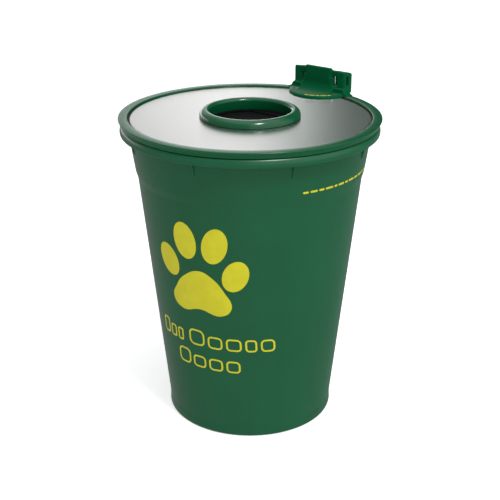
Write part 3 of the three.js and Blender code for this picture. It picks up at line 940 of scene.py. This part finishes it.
# ---------- the print on the wall ----------
PAW_TURN = 11.0  # degrees from -Y to the paw's middle, towards +X
INK = 0.12  # how far the ink stands off the wall
TOES = (  # across, height, half width, half length, lean
    (-57, 294, 18.8, 26.7, 26), (-22, 333.5, 19.7, 29.4, 10),
    (27, 332, 19.5, 29.6, -18.5), (56, 285.5, 18.7, 26.9, -27),
)
HEEL = (  # the pad's outline, across and height, with a free curve through the points
    (0, 287.5), (-26, 276), (-45, 254), (-53.5, 231), (-37, 216.5), (-3, 222.5),
    (32, 216.8), (47.5, 232), (37.5, 258), (20, 279),
)
LINE = 2.8  # the line width of the frames
FIRST_TALLER = 0.3  # how much taller a row's first frame is than the rest
FRAME_ROWS = (  # name, left end, widths, gap, low, high
    ("frames_upper_left", -92, (17, 14, 12), 4, 156.2, 177.7),
    ("frames_upper_right", -28.4, (28, 24, 24, 18, 22), 5.5, 156.2, 177.7),
    ("frames_lower", -54, (25, 23, 23, 22), 5.3, 117, 138),
)
NECK_DASHES = ("dashes", 162, (9, 12, 9, 14, 6, 12, 7, 14, 10, 12, 8, 12), 3.0, 413, 416.2)
FOOT_DASHES = ("foot_dashes", 1, (7, 9, 6, 10, 5), 1.6, 0, 3.6)
FOOT_DASH_RADIUS = 44.2  # from the pad's centre


def skin_radius(height):
    """The bucket's outer radius at a height, over the wall, the stacking step and the neck."""
    if height < STEP_LOW[1]:
        return wall_radius(height)
    if height < STEP_HIGH[1]:
        share = (height - STEP_LOW[1]) / (STEP_HIGH[1] - STEP_LOW[1])
        return STEP_LOW[0] + (STEP_HIGH[0] - STEP_LOW[0]) * share
    return wall_at_rim(height)


def wrap(obj):
    """Bends a flat print, drawn across X and up Z, round the wall, with its middle at PAW_TURN."""
    for v in obj.data.vertices:
        across, depth, height = v.co.x / MM, v.co.y / MM, v.co.z / MM
        radius = skin_radius(height)
        a = radians(PAW_TURN) + across / radius
        out = radius + INK - depth
        v.co = Vector((out * sin(a), -out * cos(a), height)) * MM
    obj.data.update()
    return obj


def filled(name, curve):
    """A flat curve made into a mesh."""
    obj = bpy.data.objects.new(name, curve)
    bpy.context.scene.collection.objects.link(obj)
    pick(obj)
    bpy.ops.object.convert(target="MESH")
    return bpy.context.active_object


def smooth_outline(name, points):
    """A closed, filled curve that runs smoothly through the points."""
    curve = bpy.data.curves.new(name, "CURVE")
    curve.dimensions = "2D"
    curve.fill_mode = "BOTH"
    curve.resolution_u = 10
    line = curve.splines.new("BEZIER")
    line.use_cyclic_u = True
    line.bezier_points.add(len(points) - 1)
    for knot, (x, z) in zip(line.bezier_points, points):
        knot.co = (x * MM, z * MM, 0)
        knot.handle_left_type = knot.handle_right_type = "AUTO"
    return curve


def upright(obj):
    """Stands a print that was drawn flat in XY up into XZ."""
    return move_mesh(obj, Matrix.Rotation(pi / 2, 4, "X"))


def sliced(obj, pitch=6.0):
    """Cuts a flat print into narrow strips, so that it can bend round the wall."""
    low = min(v.co.x for v in obj.data.vertices)
    high = max(v.co.x for v in obj.data.vertices)
    open_mesh(obj)
    bpy.ops.mesh.select_all(action="SELECT")
    bpy.ops.mesh.dissolve_limited(angle_limit=radians(1))
    x = low + pitch * MM
    while x < high:
        bpy.ops.mesh.select_all(action="SELECT")
        bpy.ops.mesh.bisect(plane_co=(x, 0, 0), plane_no=(1, 0, 0))
        x += pitch * MM
    close_mesh()
    return obj


def inked(obj):
    """A flat print given the ink's thickness and laid on the wall."""
    sliced(upright(obj))
    modify(obj, "SOLIDIFY", thickness=(INK + 0.1) * MM, offset=1)
    wrap(obj)
    return smooth(tidy_normals(obj, WELD), 40)


def toe(index, across, height, half_width, half_length, lean):
    """One leaning oval of the paw."""
    start_clean()
    bpy.ops.mesh.primitive_circle_add(vertices=48, radius=MM, fill_type="NGON")
    obj = named(bpy.context.active_object, f"paw_toe_{index}")
    oval = Matrix.Diagonal((half_width, half_length, 1, 1))
    return move_mesh(obj, shift(across, height, 0) @ about_z(lean) @ oval)


def tile(name, left, right, low, high, line=0.0):
    """A rounded tile, or a rounded frame of one line width."""
    corner = min(right - left, high - low) * 0.32
    points = [(left, low, corner), (right, low, corner), (right, high, corner), (left, high, corner)]
    obj = outlined(name, points, "XY")
    bpy.ops.mesh.edge_face_add()
    if line:
        bpy.ops.mesh.inset(thickness=line * MM)
        bpy.ops.mesh.delete(type="FACE")
    close_mesh()
    return obj


def row_of(name, start, widths, gap, low, high, line=0.0):
    """Tiles of the given widths side by side, joined into one print."""
    tiles, at = [], start
    extra = (high - low) * FIRST_TALLER if line else 0
    for i, width in enumerate(widths):
        top = high if i else high + extra
        tiles.append(tile(f"{name}_{i}", at, at + width, low, top, line))
        at += width + gap
    return named(join(*tiles), name)


def build_print():
    """A paw with rows of plain rounded frames under it and a row of small dashes at the neck."""
    ink = yellow_ink("yellow_ink")
    marks = [toe(i + 1, *row) for i, row in enumerate(TOES)]
    marks.append(filled("paw_heel", smooth_outline("paw_heel", HEEL)))
    marks += [row_of(*row, LINE) for row in FRAME_ROWS]
    marks.append(row_of(*NECK_DASHES))
    for obj in marks:
        finish_piece(inked(obj), "bin", "yellow_print", ink)
    build_foot_dashes(ink)


def build_foot_dashes(ink):
    """A row of dashes bent round the pad's front edge, on its flat top."""
    dashes = row_of(*FOOT_DASHES)
    modify(dashes, "SOLIDIFY", thickness=INK * MM, offset=1)
    middle = FOOT_DASH_RADIUS + FOOT_DASHES[-1] / 2
    for v in dashes.data.vertices:
        radius = FOOT_DASH_RADIUS + v.co.y / MM
        angle = v.co.x / MM / middle
        height = LAND + FOOT_TOP + 0.02 + v.co.z / MM
        v.co = Vector((radius * sin(angle), SADDLE_Y - radius * cos(angle), height)) * MM
    smooth(tidy_normals(dashes, WELD))
    finish_piece(dashes, "lid", "yellow_print", ink)


# ---------- the set ----------
CAMERA_TURN = 38.5  # the camera stands this far from -Y, towards +X
CAMERA_AWAY = 1.57894
CAMERA_HEIGHT = 0.91304
CAMERA_DIP = 22.397
CAMERA_LENS = 77.11

# The studio's dome, in degrees from straight behind the bin (+ to the right) and up.
DOME = 1.2
GAP_START = (0.3, 5.0)
GAP_END = (60, 100)
GAP_TOP = (40, 60)
GAP_LIGHT = 0.075
LEFT_FALL = (1.5, 8)
LEFT_LIGHT = 0.58
SIDE_FALL = (20, 50)
SIDE_LIGHT = 0.6
BELOW_LIGHT = 0.34
BACKDROP = 1.05
STRIP = 3.0  # a low bright strip along the back wall: it draws the thin lines on rounded edges
STRIP_START = (-75, -65)
STRIP_END = (0, 4)
STRIP_TOP = (4, 8)
GAP_GREEN_REFLECTION = (0.72, 1.0, 0.86, 1.0)  # the gap is slightly green: a painted reflection of the green lid ring and bracket, which the steel disc shows
FLOOR_GLOW = 0.46  # the paper glows: painted light that washes out the bin's shadow on it and keeps it pale to its far edge
KEY_PLACE = (0.7, -1.32, 2.6)
KEY_TARGET = (0, 0, 0.4)
KEY_SIZE = 0.45
KEY_POWER = 40


def seen_from_camera(right, back, height):
    """A place given from the camera's side: metres to the right, away beyond the bin, and up."""
    a = radians(CAMERA_TURN)
    return Vector((right * cos(a) - back * sin(a), right * sin(a) + back * cos(a), height))


def add_camera():
    data = bpy.data.cameras.new("camera")
    data.lens = CAMERA_LENS
    data.sensor_width = 36
    cam = bpy.data.objects.new("camera", data)
    cam.location = seen_from_camera(0, -CAMERA_AWAY, CAMERA_HEIGHT)
    cam.rotation_euler = (radians(90 - CAMERA_DIP), 0, radians(CAMERA_TURN))
    bpy.context.scene.collection.objects.link(cam)
    bpy.context.scene.camera = cam


def add_key_light():
    """A small soft lamp high up beside the camera."""
    data = bpy.data.lights.new("key_light", "AREA")
    data.shape = "RECTANGLE"
    data.size = data.size_y = KEY_SIZE
    data.energy = KEY_POWER
    place = seen_from_camera(*KEY_PLACE)
    lamp = bpy.data.objects.new("key_light", data)
    lamp.location = place
    lamp.rotation_euler = (Vector(KEY_TARGET) - place).to_track_quat("-Z", "Y").to_euler()
    bpy.context.scene.collection.objects.link(lamp)


def add_floor():
    """A wide sheet of pale paper, a little below the foot ring."""
    start_clean()
    bpy.ops.mesh.primitive_plane_add(size=24, location=(0, 0, -0.0005))
    floor = named(bpy.context.active_object, "floor")
    # the paper's glow is painted light that washes out the bin's shadow on it
    f = Finish("floor_paint", Roughness=0.9, Emission_Strength=FLOOR_GLOW)
    f.shader.inputs["Emission Color"].default_value = (1.0, 1.0, 1.0, 1.0)
    speck = f.noise(30, 3)
    colour = f.mixed(speck, (0.86, 0.86, 0.86, 1.0), (0.90, 0.90, 0.90, 1.0))
    coat(floor, f.feed(Base_Color=colour))
    floor.visible_glossy = False  # the bin mirrors the studio and not the paper under it


def add_world():
    """A bright studio dome with a dark gap low down behind the bin to the right,
    which the steel disc mirrors as its fall from white to dark grey."""
    world = bpy.data.worlds.new("studio")
    bpy.context.scene.world = world
    world.use_nodes = True
    tree = world.node_tree
    look = node(tree, "ShaderNodeTexCoord")
    turn = radians(CAMERA_TURN)

    def along(direction):
        return node(tree, "ShaderNodeVectorMath", {"operation": "DOT_PRODUCT"}, {0: look, 1: direction}, 1)

    right = along((cos(turn), sin(turn), 0))
    back = along((-sin(turn), cos(turn), 0))
    up = along((0, 0, 1))
    bearing = right.math("ARCTAN2", right, back) * degrees(1)  # from straight behind the bin
    height = up.math("ARCSINE", up) * degrees(1)
    low = 1 - height.from_to(*GAP_TOP)
    gap = bearing.from_to(*GAP_START) * (1 - bearing.from_to(*GAP_END)) * low
    left = (0 - bearing).from_to(*LEFT_FALL) * low
    side = (0 - bearing).from_to(*SIDE_FALL) * low
    below = (0 - height).from_to(0, 2)
    bright = DOME * (1 - gap * (1 - GAP_LIGHT))
    bright = bright * (1 - left * (1 - LEFT_LIGHT)) * (1 - side * (1 - SIDE_LIGHT))
    strip = bearing.from_to(*STRIP_START) * (1 - bearing.from_to(*STRIP_END))
    bright = bright + strip * (1 - height.from_to(*STRIP_TOP)) * STRIP
    bright = bright * (1 - below) + below * BELOW_LIGHT
    seen = node(tree, "ShaderNodeLightPath")  # the camera itself sees a plain pale backdrop
    bright = bright * (1 - seen) + seen * BACKDROP
    # the gap's green is a painted reflection of the green lid ring and bracket in the steel disc
    tint = node(tree, "ShaderNodeMix", {"data_type": "RGBA"},
                {0: gap * gap * (1 - seen), 6: (1.0, 1.0, 1.0, 1.0), 7: GAP_GREEN_REFLECTION}, 2)
    sky = tree.nodes["Background"]
    tree.links.new(bright.out, sky.inputs["Strength"])
    tree.links.new(tint.out, sky.inputs["Color"])


def build_all():
    add_camera()
    build_bucket()
    build_lid_ring()
    build_plate()
    build_gaskets()
    zinc = build_nuts()
    build_saddle_screws(zinc)
    build_collar()
    black = black_moulding("black_moulding")
    build_lock_ring(black)
    build_flap_frame(black)
    build_flap(black)
    build_hinge(zinc)
    build_hoop(zinc)
    build_saddle()
    build_print()
    add_floor()
    add_world()
    add_key_light()


build_all()
bpy.context.scene.view_settings.view_transform = "Standard"
